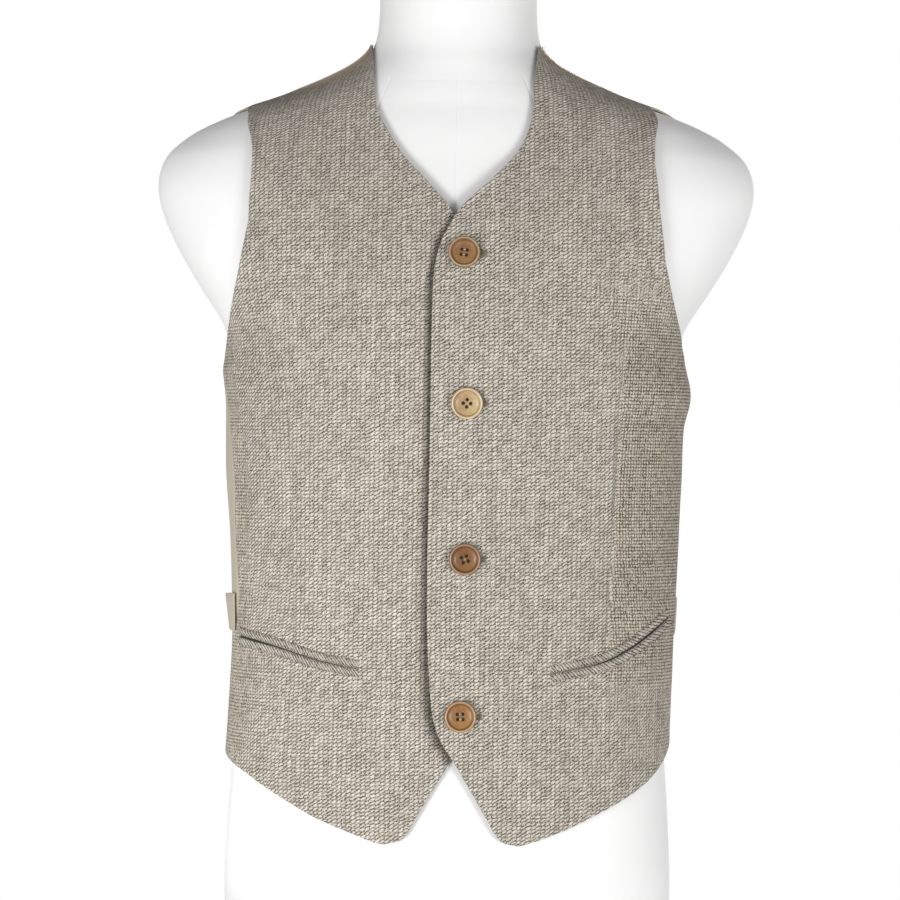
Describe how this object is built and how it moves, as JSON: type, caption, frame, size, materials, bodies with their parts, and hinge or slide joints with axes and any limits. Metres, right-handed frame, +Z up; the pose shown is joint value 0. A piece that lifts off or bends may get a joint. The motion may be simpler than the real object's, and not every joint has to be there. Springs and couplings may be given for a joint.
{
  "type": "suit waistcoat on a limbless dress form",
  "caption": "Single-breasted tweed suit waistcoat with V neck, jetted pockets, pointed fronts, satin back and cinch strap, buttoned on a limbless dress form.",
  "frame": {"origin": "middle of the form's flat base, on the surface it stands on", "axes": "+Z up along the body, -Y out of the chest, +X towards the wearer's left"},
  "size_m": [0.464, 0.2583, 0.806],
  "materials": {
    "tweed": "coarse wool tweed, cream and grey-brown flecks in a small basket weave",
    "satin": "smooth beige lining satin with a soft sheen",
    "form_cover": "white stretch jersey, matte",
    "button": "caramel-brown mottled horn look, satin gloss",
    "buckle": "dull antique nickel"
  },
  "bodies": {
    "root": {"dress_form": "form_cover", "front_left": "tweed", "front_right": "tweed", "back_left": "satin", "back_right": "satin", "pocket_left_upper": "tweed", "pocket_left_lower": "tweed", "pocket_right_upper": "tweed", "pocket_right_lower": "tweed", "button_1": "button", "button_2": "button", "button_3": "button", "button_4": "button", "strap_left": "satin", "strap_right": "satin", "buckle": "buckle"}
  },
  "joints": []
}
